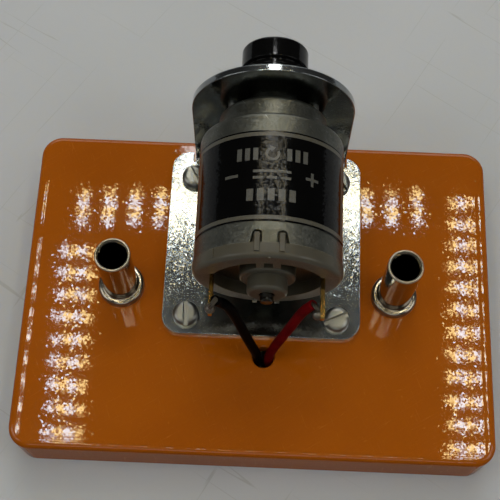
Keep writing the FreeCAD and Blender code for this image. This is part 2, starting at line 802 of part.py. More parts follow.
def make_segment(pole):
    angle = FULL_TURN / pole_count - commutator_gap_angle
    turn = FULL_TURN * (pole + 0.5) / pole_count
    bar = ring(commutator_hub_radius, commutator_radius, commutator_front,
               commutator_front + commutator_length, angle, turn)
    tab = ring(commutator_hub_radius, commutator_tab_radius, commutator_front + commutator_length,
               commutator_front + commutator_length + commutator_tab_length, commutator_tab_angle, turn)
    return bar.fuse(tab).removeSplitter()


def make_thrust_washer(front):
    return ring(shaft_radius, thrust_washer_radius, front, front + thrust_washer_thickness)


def make_spacer():
    return ring(shaft_radius, spacer_radius, spacer_front, rear_washer_front)


def make_pulley():
    groove_back = pulley_groove_front + pulley_groove_width
    groove_radius = pulley_near_radius - pulley_groove_depth
    recess_floor = pulley_back - pulley_recess_depth
    hub_back = pulley_back - pulley_recess_depth + pulley_hub_length
    near_recess = pulley_front + pulley_recess_depth
    return turned([
        (shaft_radius, pulley_front, 0), (pulley_hub_radius, pulley_front, pulley_edge),
        (pulley_hub_radius, near_recess, 0), (pulley_recess_radius, near_recess, 0),
        (pulley_recess_radius, pulley_front, 0), (pulley_near_radius, pulley_front, pulley_edge),
        (pulley_near_radius, pulley_groove_front, 0),
        (groove_radius, pulley_groove_front + pulley_groove_depth / 2, 0),
        (groove_radius, groove_back - pulley_groove_depth / 2, 0),
        (pulley_radius, groove_back, 0), (pulley_radius, pulley_back, pulley_edge),
        (pulley_recess_radius, pulley_back, 0), (pulley_recess_radius, recess_floor, 0),
        (pulley_hub_radius, recess_floor, 0), (pulley_hub_radius, hub_back, pulley_edge),
        (shaft_radius, hub_back, 0)])


def make_socket(x):
    collar_top = base_height + socket_collar_height
    bore_end = socket_top - socket_bore_depth
    return turned_upright([
        (0, socket_shank_end_height, 0),
        (socket_shank_radius, socket_shank_end_height, socket_lip),
        (socket_shank_radius, base_height, 0), (socket_collar_radius, base_height, 0),
        (socket_collar_radius, collar_top, socket_collar_edge),
        (socket_radius, collar_top, socket_collar_root), (socket_radius, socket_top, socket_lip),
        (socket_mouth_radius, socket_top, 0),
        (socket_bore_radius, socket_top - socket_mouth_depth, 0),
        (socket_bore_radius, bore_end, 0), (0, bore_end, 0)], x, 0)


def make_socket_washer(x):
    washer = upright_rod(socket_washer_radius, x, 0, tag_top, base_underside)
    return washer.cut(upright_rod(socket_shank_radius + screw_clearance, x, 0, tag_top - overrun,
                                  base_underside + overrun))


def make_tag(side):
    """A ring under the nut with a tail that points forward and inward."""
    x = side * socket_spacing / 2
    low = tag_bottom
    tail = slab(rectangle(x, x + tag_tail_length, -tag_tail_width / 2, tag_tail_width / 2,
                          tag_tail_corner), low, tag_top)
    tail = tail.cut(upright_rod(tag_eye_radius, x + tag_tail_length - tag_tail_width / 2, 0,
                                low - overrun, tag_top + overrun))
    turn = -tag_angle if side < 0 else tag_angle - 2 * SQUARE_TURN
    tail.rotate(point(x, 0, 0), UP, turn)
    tag = upright_rod(tag_ring_radius, x, 0, low, tag_top).fuse(tail)
    tag = tag.cut(upright_rod(socket_shank_radius + screw_clearance, x, 0, low - overrun,
                              tag_top + overrun))
    return tag.removeSplitter()


def make_socket_nut(x):
    low = tag_bottom - socket_nut_height
    nut = hexagon(socket_nut_width, x, 0, low, tag_bottom)
    return nut.cut(upright_rod(socket_shank_radius + snug_clearance, x, 0, low - overrun,
                               tag_bottom + overrun))


def without(shape, taken):
    """The largest piece of the shape that is left outside the shapes in taken."""
    for other in taken:
        shape = shape.cut(other)
    return max(shape.Solids, key=lambda solid: solid.Volume)


def make_solder(place, radius, blade):
    """A drop of solder round the place where a wire ends on its blade, with its seam to the front."""
    drop = Part.makeSphere(radius, above_base(place))
    drop.rotate(above_base(place), UP, -SQUARE_TURN)
    return without(drop, [blade])


base = make_base()
screw_list = [make_bracket_screw(x, y, angle) for (x, y), angle in zip(screw_places, screw_slot_angles)]
right_terminal = make_right_terminal()
right_leaf = make_right_leaf()
right_carbon = make_right_carbon()
right_magnet = make_right_magnet()
left_terminal = mirrored(right_terminal)
left_tag = make_tag(-1)
right_tag = make_tag(1)
solder = [
    make_solder(black_top_strand[-1], solder_radius, left_terminal),
    make_solder(red_top_strand[-1], solder_radius, right_terminal),
    make_solder(black_tag_strand[-1], tag_solder_radius, left_tag),
    make_solder(red_tag_strand[-1], tag_solder_radius, right_tag),
]
black_strands = [
    without(tube(black_top_strand, strand_diameter, "black wire at the terminal"), [solder[0]]),
    without(tube(black_tag_strand, strand_diameter, "black wire at the tag"), [solder[2]])]
red_strands = [
    without(tube(red_top_strand, strand_diameter, "red wire at the terminal"), [solder[1]]),
    without(tube(red_tag_strand, strand_diameter, "red wire at the tag"), [solder[3]])]
black_lead = without(tube(black_route, lead_diameter, "black lead"), black_strands)
red_lead = without(tube(red_route, lead_diameter, "red lead"), red_strands)
core = pole_shape(core_front, core_back)
insulators = [pole_shape(core_front - insulator_thickness, core_front),
              pole_shape(core_back, core_back + insulator_thickness)]

nodes = {
    "base": [base],
    "motor_bracket": [make_bracket()],
    "bracket_screws": screw_list,
    "bracket_washers": [make_bracket_washer(x, y) for x, y in screw_places],
    "bracket_nuts": [make_bracket_nut(x, y) for x, y in screw_places],
    "motor_can": [make_can()],
    "motor_label": [make_label()],
    "motor_screws": [make_motor_screw(side) for side in (-1, 1)],
    "end_cap": [make_cap()],
    "left_terminal": [left_terminal],
    "right_terminal": [right_terminal],
    "left_brush_leaf": [mirrored(right_leaf)],
    "right_brush_leaf": [right_leaf],
    "left_carbon_brush": [mirrored(right_carbon)],
    "right_carbon_brush": [right_carbon],
    "left_magnet": [mirrored(right_magnet)],
    "right_magnet": [right_magnet],
    "magnet_clip": [make_magnet_clip()],
    "front_bearing": [ring(shaft_radius + bearing_clearance, front_bearing_radius, front_bearing_front,
                           front_bearing_back)],
    "rear_bearing": [ring(shaft_radius + bearing_clearance, boss_inner_radius, rear_bearing_front,
                          rear_bearing_back)],
    "shaft": [make_shaft()],
    "armature_core": [core],
    "core_insulators": insulators,
    "commutator_hub": [make_commutator_hub()],
    "shaft_spacer": [make_spacer()],
    "thrust_washers": [
        make_thrust_washer(front_bearing_back + washer_clearance), make_thrust_washer(rear_washer_front)],
    "drive_pulley": [make_pulley()],
    "left_socket": [make_socket(-socket_spacing / 2)],
    "right_socket": [make_socket(socket_spacing / 2)],
    "socket_washers": [make_socket_washer(side * socket_spacing / 2) for side in (-1, 1)],
    "left_solder_tag": [left_tag],
    "right_solder_tag": [right_tag],
    "socket_nuts": [make_socket_nut(side * socket_spacing / 2) for side in (-1, 1)],
    "black_lead": [black_lead],
    "red_lead": [red_lead],
    "black_lead_wire": black_strands,
    "red_lead_wire": red_strands,
    "solder_joints": solder,
}
for pole in range(pole_count):
    nodes[f"coil_{pole + 1}"] = [make_coil(pole)]
    nodes[f"commutator_segment_{pole + 1}"] = [make_segment(pole)]

# The origin lies under the middle of the outline, which runs from the base's front to the pulley's back
outline_back = max(base_back, pulley_back)
to_origin = BACK * (-(base_front + outline_back) / 2)

os.makedirs("parts", exist_ok=True)
for name, solids in nodes.items():
    shape = solids[0] if len(solids) == 1 else Part.makeCompound(solids)
    shape.translate(to_origin)
    found = len(shape.Solids)
    if not shape.isValid() or found != len(solids):
        print(f"{name}: valid {shape.isValid()}, {found} solids for {len(solids)} pieces")
    shape.exportStep(f"parts/{name}.step")
print(f"{len(nodes)} nodes, moved by {to_origin.y:.3f} along Y")
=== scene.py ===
"""The looks of a demonstration electric motor on an orange base, in metres, with X to the right,
Y away from the viewer and Z up. Sizes below are in millimetres and are turned to metres by MM."""
import bpy
import math
from mathutils import Matrix, Vector


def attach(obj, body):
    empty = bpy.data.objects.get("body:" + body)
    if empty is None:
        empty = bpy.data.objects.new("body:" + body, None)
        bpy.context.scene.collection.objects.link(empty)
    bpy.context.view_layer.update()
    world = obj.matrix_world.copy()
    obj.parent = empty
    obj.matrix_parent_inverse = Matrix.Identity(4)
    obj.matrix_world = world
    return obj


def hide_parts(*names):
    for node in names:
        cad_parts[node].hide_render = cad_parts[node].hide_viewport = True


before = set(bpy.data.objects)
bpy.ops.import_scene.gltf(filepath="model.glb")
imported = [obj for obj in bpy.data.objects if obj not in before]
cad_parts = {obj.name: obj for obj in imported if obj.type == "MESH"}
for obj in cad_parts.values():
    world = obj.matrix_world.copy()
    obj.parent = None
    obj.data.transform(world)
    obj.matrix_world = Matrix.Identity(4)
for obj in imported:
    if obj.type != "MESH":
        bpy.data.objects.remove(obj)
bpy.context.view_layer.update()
MM = 0.001


# The base is one injection moulding in orange ABS from a polished mould with a very fine spark
# grain: strong colour, a clear shine, and reflections that break up into small bright specks. The
# real grain is about a tenth of a millimetre, and is drawn coarser here so that it shows.
base_half_width = 37.5
base_half_depth = 26.6
base_middle_y = -3.45
rim_start, rim_end, rim_height = 1.1, 2.0, 0.022
peel_size, peel_depth = 3.5, 0.0014
flow_size = 14
spark_size, spark_tilt, wild_share = 0.29, 0.0028, 0.12
dull_share, dull_shine, wall_shine, full_shine = 0.25, 0.15, 0.02, 0.5


def linear(hex_colour):
    """The linear colour of an sRGB hex value."""
    channels = [int(hex_colour[place:place + 2], 16) / 255 for place in (0, 2, 4)]
    return [c / 12.92 if c <= 0.04045 else ((c + 0.055) / 1.055) ** 2.4 for c in channels] + [1]


def add_node(tree, kind, sockets=None, **settings):
    """One node with its settings. A socket gets a number, a colour, another node's output, or a
    node, whose first output it takes."""
    made = tree.nodes.new("ShaderNode" + kind)
    for name, value in settings.items():
        setattr(made, name, value)
    for name, value in (sockets or {}).items():
        if isinstance(value, bpy.types.Node):
            value = value.outputs[0]
        if isinstance(value, bpy.types.NodeSocket):
            tree.links.new(value, made.inputs[name])
        else:
            made.inputs[name].default_value = value
    return made


def start_material(name):
    """An empty material, its nodes, and the place on the piece in millimetres."""
    material = bpy.data.materials.new(name)
    material.use_nodes = True
    tree = material.node_tree
    tree.nodes.clear()
    place = add_node(tree, "TexCoord").outputs["Object"]
    return material, tree, add_node(tree, "Mapping", {"Vector": place, "Scale": [1 / MM] * 3})


def end_material(material, sockets):
    """The material, ended with one shader that has these sockets."""
    shader = add_node(material.node_tree, "BsdfPrincipled", sockets)
    add_node(material.node_tree, "OutputMaterial", {"Surface": shader})
    return material


def grain(tree, place, size, detail, roughness):
    """A fine grain with lumps of that size, and a roughness that goes up and down with it."""
    lumps = add_node(tree, "TexNoise", {"Vector": place, "Scale": 1 / size, "Detail": detail})
    gloss = add_node(tree, "MapRange", {0: lumps, 1: 0.3, 2: 0.7, 3: roughness[0], 4: roughness[1]})
    return lumps, gloss


def two_toned(tree, pattern, low, high, dark, pale):
    """A colour that turns from dark to pale where the pattern goes from low to high."""
    share = add_node(tree, "MapRange", {0: pattern, 1: low, 2: high})
    return add_node(tree, "Mix", {0: share, 6: linear(dark), 7: linear(pale)}, data_type="RGBA").outputs[2]


def marked(tree, colour, marks, strength, mark_colour):
    """The colour with marks on it in another colour."""
    share = add_node(tree, "Math", {0: marks, 1: strength}, operation="MULTIPLY")
    return add_node(tree, "Mix", {0: share, 6: colour, 7: linear(mark_colour)}, data_type="RGBA").outputs[2]


def hairlines(tree, place, *kinds):
    """Fine scratches, each kind with its angle, length, width, and how much of the surface has it.

    A scratch runs where a stretched pattern passes its middle, and a second one leaves patches out.
    """
    layers = []
    for angle, length, width, share in kinds:
        turned = add_node(tree, "Mapping", {"Vector": place, "Rotation": [0, 0, math.radians(angle)],
                                            "Scale": [length, 8 * width, length]}, vector_type="TEXTURE")
        waves = add_node(tree, "TexNoise", {"Vector": turned, "Scale": 1.0, "Detail": 0.0})
        middle = add_node(tree, "Math", {0: waves, 1: 0.5}, operation="SUBTRACT")
        middle = add_node(tree, "Math", {0: middle}, operation="ABSOLUTE")
        line = add_node(tree, "MapRange", {0: middle, 1: 0.004, 2: 0.014, 3: 1.0, 4: 0.0})
        patches = add_node(tree, "TexNoise", {"Vector": turned, "Scale": 1 / 0.6, "Detail": 0.0})
        patches = add_node(tree, "MapRange", {0: patches, 1: 0.72 - share, 2: 0.78 - share})
        layers.append(add_node(tree, "Math", {0: line, 1: patches}, operation="MULTIPLY"))
    return add_node(tree, "Math", dict(enumerate(layers)), operation="MAXIMUM")


def faceted(tree, place, size, tilt, edge_radius=0.0, wild=0.0):
    """A normal broken into small flats of that size, each leaning its own way by up to tilt, and
    the wild share of them by three times that, over edges that are rounded by edge_radius. A small
    bright lamp shows in it as separate sparks."""
    smooth = (add_node(tree, "Bevel", {"Radius": edge_radius * MM}, samples=4) if edge_radius
              else add_node(tree, "NewGeometry").outputs["Normal"])
    flats = add_node(tree, "TexVoronoi", {"Vector": place, "Scale": 1 / size}).outputs["Color"]
    lean = add_node(tree, "VectorMath", {0: flats, 1: [2 * tilt] * 3, 2: [-tilt] * 3},
                    operation="MULTIPLY_ADD")
    if wild:
        chance = add_node(tree, "TexWhiteNoise", {"Vector": flats})
        times = add_node(tree, "MapRange", {0: chance, 1: 0.99 - wild, 2: 1 - wild, 3: 1.0, 4: 3.0})
        lean = add_node(tree, "VectorMath", {0: lean, 3: times}, operation="SCALE")
    leaning = add_node(tree, "VectorMath", {0: smooth, 1: lean}, operation="ADD")
    return add_node(tree, "VectorMath", {0: leaning}, operation="NORMALIZE")


def relief(tree, height, depth, edge_radius=0.0, facets=None):
    """A normal raised by height times depth, over its facets or edges rounded by edge_radius."""
    sockets = {"Height": height, "Distance": depth * MM, "Strength": 1.0}
    if facets:
        sockets["Normal"] = facets
    elif edge_radius:
        sockets["Normal"] = add_node(tree, "Bevel", {"Radius": edge_radius * MM}, samples=4)
    return add_node(tree, "Bump", sockets)


def finish(material, *names):
    """Gives CAD nodes this material."""
    for name in names:
        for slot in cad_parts[name].material_slots:
            slot.material = material


def raised_rim(tree, place):
    """1 along the left, right and front rims of the base's top, and 0 elsewhere."""
    parts = add_node(tree, "SeparateXYZ", {0: place}).outputs
    aside = add_node(tree, "Math", {0: parts[0]}, operation="ABSOLUTE")
    forward = add_node(tree, "Math", {0: base_middle_y, 1: parts[1]}, operation="SUBTRACT")
    rims = [add_node(tree, "MapRange", {0: outward, 1: half - rim_end, 2: half - rim_start},
                     interpolation_type="SMOOTHSTEP")
            for outward, half in ((aside, base_half_width), (forward, base_half_depth))]
    return add_node(tree, "Math", {0: rims[0], 1: rims[1]}, operation="MAXIMUM")


def make_orange_abs():
    """The base's plastic. Some of its small flats are dull, and its side walls hardly shine."""
    material, tree, place = start_material("orange_moulded_abs")
    flow = add_node(tree, "TexNoise", {"Vector": place, "Scale": 1 / flow_size, "Detail": 2.0})
    colour = two_toned(tree, flow, 0.3, 0.7, "904906", "974E08")
    scratches = hairlines(tree, place, (32, 9, 0.05, 0.16), (-67, 7, 0.04, 0.14))
    colour = marked(tree, colour, scratches, 0.25, "C07C3C")
    gloss = grain(tree, place, 0.3, 1.0, (0.02, 0.04))[1]
    peel = add_node(tree, "TexNoise", {"Vector": place, "Scale": 1 / peel_size, "Detail": 1.0})
    height = add_node(tree, "Math", {0: raised_rim(tree, place), 1: rim_height / peel_depth, 2: peel},
                      operation="MULTIPLY_ADD")
    sparks = faceted(tree, place, spark_size, spark_tilt, wild=wild_share)
    flats = add_node(tree, "TexVoronoi", {"Vector": place, "Scale": 1 / spark_size}).outputs["Color"]
    chance = add_node(tree, "TexWhiteNoise", {"Vector": flats})
    shine = add_node(tree, "MapRange", {0: chance, 1: dull_share - 0.01, 2: dull_share,
                                        3: dull_shine, 4: full_shine})
    normal = add_node(tree, "NewGeometry").outputs["Normal"]
    level = add_node(tree, "SeparateXYZ", {0: normal}).outputs[2]
    level = add_node(tree, "MapRange", {0: level, 1: 0.6, 2: 0.9})
    shine = add_node(tree, "Mix", {0: level, 2: wall_shine, 3: shine})
    return end_material(material, {"IOR": 1.43, "Base Color": colour, "Roughness": gloss,
                                   "Specular IOR Level": shine,
                                   "Normal": relief(tree, height, peel_depth, facets=sparks)})


finish(make_orange_abs(), "base")


# The bracket is mild steel sheet, cut and bent, then zinc plated and passivated: a pale bluish
# metal with a fine crystalline sparkle, hairline scratches and bright sheared edges. Its crystals
# are drawn coarser than they are, so that they show.
zinc_grain, zinc_edge = 0.26, 0.25
film_gloss = {"Coat Weight": 0.7, "Coat Roughness": 0.04, "Coat IOR": 1.5}


def make_plated_metal(name, colours, roughness, grain_size, depth, edge,
                      scratched=0.0, tilt=0.0, crystals=0.0):
    """A plated metal: two colours that mottle, a roughness range, its grain, how much of it is
    scratched, and how far the crystals of the metal and of the clear film on it lean."""
    material, tree, place = start_material(name)
    fine, gloss = grain(tree, place, grain_size, 3.0, roughness)
    broad = add_node(tree, "TexNoise", {"Vector": place, "Scale": 1 / (12 * grain_size), "Detail": 2.0})
    marks = hairlines(tree, place, *[(angle, 5, 0.03, scratched) for angle in (20, -55)])
    colour = marked(tree, two_toned(tree, broad, 0.35, 0.65, *colours), marks, 0.4, "F2F2F0")
    gloss = add_node(tree, "Math", {0: marks, 1: -0.1, 2: gloss}, operation="MULTIPLY_ADD")
    height = add_node(tree, "Math", {0: marks, 1: -0.5, 2: fine}, operation="MULTIPLY_ADD")
    facets = faceted(tree, place, grain_size, tilt, edge) if tilt else None
    sockets = {"Metallic": 1.0, "Base Color": colour, "Roughness": gloss,
               "Normal": relief(tree, height, depth, edge, facets)}
    if crystals:
        sockets.update(film_gloss)
        sockets["Coat Normal"] = faceted(tree, place, grain_size, crystals, edge)
    return end_material(material, sockets)


zinc = make_plated_metal("zinc_plated_steel", ("858989", "989D9D"), (0.11, 0.15), zinc_grain, 0.0006,
                         zinc_edge, scratched=0.08, tilt=0.016, crystals=0.055)
finish(zinc, "motor_bracket")

# The screws are slotted pan heads with domed tops, turned and plated like the bracket. Below the
# base they hold with plain washers and hexagon nuts.
bright_zinc = make_plated_metal("bright_zinc_fasteners", ("777873", "8C8D87"), (0.3, 0.36), 1.5, 0.0006, 0.15)
finish(bright_zinc, "bracket_screws", "bracket_washers", "bracket_nuts", "motor_screws")

# The sockets are turned from brass and nickel plated, with a bright barrel and a satin collar and
# mouth. Turning leaves fine rings round them, drawn farther apart than they are. Inside the bore
# the colour is painted near black deeper down, as painted shade.
socket_x, socket_y = 21.9, -3.45
socket_top, collar_top = 23.3, 10.7
bore_radius = 2.1
ring_pitch = 1.382


def turned_rings(tree, place, pitch, direction):
    """The rings that a turning tool leaves, one after another along Y or Z at that pitch."""
    return add_node(tree, "TexWave", {"Vector": place, "Scale": math.pi / (10 * pitch),
                                      "Distortion": 0.6, "Detail": 1.0, "Detail Scale": 2.0},
                    wave_type="BANDS", bands_direction=direction).outputs[1]


def distance_from(tree, first, first_middle, second, second_middle):
    """The distance from an axis, where first and second are two parts of the place."""
    first = add_node(tree, "Math", {0: first, 1: first_middle}, operation="SUBTRACT")
    second = add_node(tree, "Math", {0: second, 1: second_middle}, operation="SUBTRACT")
    square = add_node(tree, "Math", {0: first, 1: first}, operation="MULTIPLY")
    square = add_node(tree, "Math", {0: second, 1: second, 2: square}, operation="MULTIPLY_ADD")
    return add_node(tree, "Math", {0: square}, operation="SQRT")


def make_nickel():
    material, tree, place = start_material("nickel_plated_brass")
    parts = add_node(tree, "SeparateXYZ", {0: place}).outputs
    aside = add_node(tree, "Math", {0: parts[0]}, operation="ABSOLUTE")
    radius = distance_from(tree, aside, socket_x, parts[1], socket_y)
    # Painted shade: the colour turns near black inside the bore, more so deeper down.
    inside = add_node(tree, "MapRange", {0: radius, 1: bore_radius + 0.2, 2: bore_radius + 0.05})
    deep = add_node(tree, "MapRange", {0: parts[2], 1: socket_top - 0.4, 2: socket_top - 1.8})
    bore = add_node(tree, "Math", {0: inside, 1: deep}, operation="MULTIPLY")
    collar = add_node(tree, "MapRange", {0: parts[2], 1: collar_top + 0.2, 2: collar_top - 0.3})
    mouth = add_node(tree, "MapRange", {0: parts[2], 1: socket_top - 0.35, 2: socket_top - 0.2})
    satin = add_node(tree, "Math", {0: collar, 1: mouth}, operation="MAXIMUM")
    cloud = add_node(tree, "TexNoise", {"Vector": place, "Scale": 1 / 1.5, "Detail": 2.0})
    colour = marked(tree, two_toned(tree, cloud, 0.0, 1.0, "8C8474", "A29A8B"), bore, 1.0, "080706")
    fine, gloss = grain(tree, place, 0.2, 2.0, (0.06, 0.14))
    gloss = add_node(tree, "Math", {0: satin, 1: 0.22, 2: gloss}, operation="MULTIPLY_ADD")
    grainy = add_node(tree, "Math", {0: satin, 1: 2.0, 2: 0.6}, operation="MULTIPLY_ADD")
    height = add_node(tree, "Math", {0: grainy, 1: fine, 2: turned_rings(tree, place, ring_pitch, "Z")},
                      operation="MULTIPLY_ADD")
    return end_material(material, {"Metallic": 1.0, "Base Color": colour, "Roughness": gloss,
                                   "Normal": relief(tree, height, 0.002, 0.08)})


finish(make_nickel(), "left_socket", "right_socket")
finish(bright_zinc, "socket_washers", "socket_nuts")

# The solder tags are stamped from brass strip and tinned, so that solder takes to them well. The
# tin is dull and slightly stained.
tinned = make_plated_metal("tinned_brass", ("A8A393", "BDB8A8"), (0.28, 0.42), 0.3, 0.005, 0.06)
finish(tinned, "left_solder_tag", "right_solder_tag")

# The motor's can is deep-drawn steel with a satin plating: a darker grey than the bracket, with a
# fine even grain, drawn a little coarser than it is, that sparkles where it turns to the light.
satin_steel = make_plated_metal("satin_plated_can_steel", ("595A53", "64655E"), (0.36, 0.44), 0.26, 0.003,
                                0.25, tilt=0.08)
finish(satin_steel, "motor_can")


# The label is black polyester film with a satin face, wrapped round the top of the can. Its print
# is plain marks: a frame, a turning arrow, the poles, direct current and a row of blocks.
can_x, can_height = 1.3, 26.9
label_radius = 10.9
label_front, label_back = -3.1, 10.75
print_lift = 0.015
curve_step = 0.5
arc_steps = 28


def make_black_film():
    material, tree, place = start_material("black_satin_film")
    cloud = add_node(tree, "TexNoise", {"Vector": place, "Scale": 1 / 3.0, "Detail": 2.0})
    fine, gloss = grain(tree, place, 0.15, 2.0, (0.1, 0.14))
    facets = faceted(tree, place, 0.26, 0.03, 0.05)
    return end_material(material, {"IOR": 1.25, "Roughness": gloss,
                                   "Base Color": two_toned(tree, cloud, 0.0, 1.0, "030303", "060606"),
                                   "Normal": relief(tree, fine, 0.001, facets=facets)})


def make_dull(name, colours, roughness, grain_size, depth, edge=0.05, detail=4.0):
    """A dull solid, such as ink, pressed powder, fibre or resin: two colours that mottle, a
    roughness range, and its grain."""
    material, tree, place = start_material(name)
    fine, gloss = grain(tree, place, grain_size, detail, roughness)
    return end_material(material, {"IOR": 1.5, "Base Color": two_toned(tree, fine, 0.35, 0.65, *colours),
                                   "Roughness": gloss, "Normal": relief(tree, fine, depth, edge)})


def new_piece(name, verts, faces, material, smooth=True):
    """A mesh object from points in millimetres."""
    mesh = bpy.data.meshes.new(name)
    mesh.from_pydata([Vector(v) * MM for v in verts], [], faces)
    mesh.polygons.foreach_set("use_smooth", [smooth] * len(faces))
    mesh.materials.append(material)
    piece = bpy.data.objects.new(name, mesh)
    bpy.context.scene.collection.objects.link(piece)
    return piece


def on_label(across, along, lift):
    """A point of the wrapped label from its flat place, with 0 at the top line and its middle."""
    angle = across / label_radius
    radius = label_radius + lift
    middle = (label_front + label_back) / 2
    return (can_x + radius * math.sin(angle), middle + along, can_height + radius * math.cos(angle))


def printed(patches):
    """Thin raised ink from patches, each two rows of flat points of the same length."""
    verts, faces = [], []
    for rows in patches:
        start, count = len(verts), len(rows[0])
        for lift in (0, print_lift):
            for row in rows:
                verts += [on_label(u, v, lift) for u, v in row]
        low, high = (start, start + count), (start + 2 * count, start + 3 * count)
        for step in range(count - 1):
            for first, second in ((high[0], high[1]), (low[1], low[0]), (low[0], high[0]), (high[1], low[1])):
                faces.append((first + step, first + step + 1, second + step + 1, second + step))
        for step in (0, count - 1):
            corner = (low[0] + step, low[1] + step, high[1] + step, high[0] + step)
            faces.append(corner if step else corner[::-1])
    return verts, faces


def bar(left, right, low, high):
    steps = max(1, round((right - left) / curve_step))
    line = [left + (right - left) * step / steps for step in range(steps + 1)]
    return [[(u, low) for u in line], [(u, high) for u in line]]


def block(u, v, half_width, half_height):
    """A bar from its middle and its half sizes."""
    return bar(u - half_width, u + half_width, v - half_height, v + half_height)


def arc(u, v, radius, width, start, end):
    """A band round a centre, clockwise from start to end, in degrees from straight up."""
    turns = [math.radians(start + (end - start) * step / arc_steps) for step in range(arc_steps + 1)]
    return [[(u + r * math.sin(t), v + r * math.cos(t)) for t in turns]
            for r in (radius - width / 2, radius + width / 2)]


def arrow_head(u, v, size, heading):
    """A head that ends in a narrow tip, pointing by an angle from straight up."""
    turn = math.radians(heading)
    flat = [[(-size / 2, 0), (size / 2, 0)], [(-0.03, size * 0.8), (0.03, size * 0.8)]]
    return [[(u + x * math.cos(turn) + y * math.sin(turn), v - x * math.sin(turn) + y * math.cos(turn))
             for x, y in row] for row in flat]


frame_out, frame_in, frame_width = 14.2, 13.0, 0.6
frame_end = (label_back - label_front) / 2 - 0.25
frame_inner_end = frame_end - frame_width
label_frame = [
    bar(-frame_out, frame_out, frame_inner_end, frame_end),
    bar(-frame_out, frame_out, -frame_end, -frame_inner_end),
    bar(-frame_out, -frame_in, -frame_inner_end, frame_inner_end),
    bar(frame_in, frame_out, -frame_inner_end, frame_inner_end),
]
top_row, middle_row, low_row = 3.25, 0.1, -3.0
arrow_radius, arrow_width, arrow_size = 0.85, 0.38, 0.95
sign_place, sign_half, line_half = 5.95, 1.05, 0.22
label_marks = [arc(0, top_row, arrow_radius, arrow_width, 60, 340),
               arrow_head(-0.3, top_row + 0.8, arrow_size, 75)]
block_half, block_half_height = 0.36, 0.95
label_marks += [block(side * place, top_row, block_half, block_half_height)
                for side in (-1, 1) for place in (2.4, 3.6, 4.8)]
label_marks += [block(side * sign_place, middle_row, sign_half, line_half) for side in (-1, 1)]
label_marks += [block(sign_place, middle_row + side * (sign_half + line_half) / 2,
                      line_half, (sign_half - line_half) / 2) for side in (-1, 1)]
label_marks.append(block(0, middle_row + 0.5, 2.7, 0.2))
label_marks += [block(place, middle_row - 0.5, 0.75, 0.2) for place in (-1.95, 0, 1.95)]
label_marks += [bar(-3.5 + 1.5 * step, -2.55 + 1.5 * step, low_row - 0.9, low_row + 0.9) for step in range(5)]
finish(make_black_film(), "motor_label")
inks = [("label_print", label_marks, "silver_grey_print", ("3A3A36", "4A4A45")),
        ("label_border", label_frame, "olive_grey_print", ("3C3A32", "49473D"))]
for name, patches, ink_name, ink_colours in inks:
    ink = make_dull(ink_name, ink_colours, (0.3, 0.45), 0.18, 0.004, edge=0.0, detail=2.0)
    print_piece = new_piece(name, *printed(patches), ink, smooth=False)
    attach(print_piece, "stator")


# The end cap is moulded in natural nylon: milky and a little translucent, warm white on its rim.
# Deep in its recess it is painted a dark amber, as painted shade.
cap_recess_radius = 8.3
recess_shade_from_y, recess_shade_to_y = -7.4, -5.9
translucency = {"Subsurface Weight": 0.3, "Subsurface Radius": [0.9, 0.7, 0.45], "Subsurface Scale": 1.5 * MM}


def make_nylon():
    material, tree, place = start_material("natural_nylon")
    parts = add_node(tree, "SeparateXYZ", {0: place}).outputs
    radius = distance_from(tree, parts[0], can_x, parts[2], can_height)
    # Painted shade: the recess turns a dark amber deeper in, towards the can.
    inside = add_node(tree, "MapRange", {0: radius, 1: cap_recess_radius + 0.3, 2: cap_recess_radius - 0.2})
    deep = add_node(tree, "MapRange", {0: parts[1], 1: recess_shade_from_y, 2: recess_shade_to_y})
    inside = add_node(tree, "Math", {0: inside, 1: deep}, operation="MULTIPLY")
    cloud = add_node(tree, "TexNoise", {"Vector": place, "Scale": 1 / 2.5, "Detail": 3.0})
    colour = marked(tree, two_toned(tree, cloud, 0.0, 1.0, "3B382E", "464338"), inside, 1.0, "261E0E")
    fine, gloss = grain(tree, place, 0.25, 3.0, (0.3, 0.45))
    return end_material(material, {"IOR": 1.4, "Base Color": colour, "Roughness": gloss,
                                   "Normal": relief(tree, fine, 0.006, 0.12), **translucency})


finish(make_nylon(), "end_cap")

# The terminals and the brush leaves are stamped brass strip, bright from the tool with a few
# darker stains, and the brushes are pressed carbon.
brass = make_plated_metal("stamped_brass", ("94743A", "AC8A48"), (0.16, 0.24), 0.3, 0.001, 0.25)
finish(brass, "left_terminal", "right_terminal", "left_brush_leaf", "right_brush_leaf")
finish(make_dull("pressed_carbon", ("1B1A19", "2C2A28"), (0.5, 0.65), 0.12, 0.006),
       "left_carbon_brush", "right_carbon_brush")

# The magnets are ground arcs of sintered ferrite: a dull, faintly porous dark grey. A clip of blued
# spring steel holds them apart.
finish(make_dull("sintered_ferrite", ("2A2928", "3D3B39"), (0.55, 0.7), 0.2, 0.01),
       "left_magnet", "right_magnet")
finish(make_plated_metal("blued_spring_steel", ("3A3F4A", "555A66"), (0.3, 0.4), 0.2, 0.004, 0.05),
       "magnet_clip")

# The rotor turns in bearings of porous bronze, dull and slightly oily. Its shaft is ground steel,
# grey and bright.
finish(make_plated_metal("porous_bronze", ("7E5A30", "9A7442"), (0.4, 0.55), 0.15, 0.012, 0.05),
       "front_bearing", "rear_bearing")
ground_steel = make_plated_metal("ground_shaft_steel", ("3A3935", "4C4A46"), (0.12, 0.2), 0.3, 0.001, 0.12)
finish(ground_steel, "shaft")


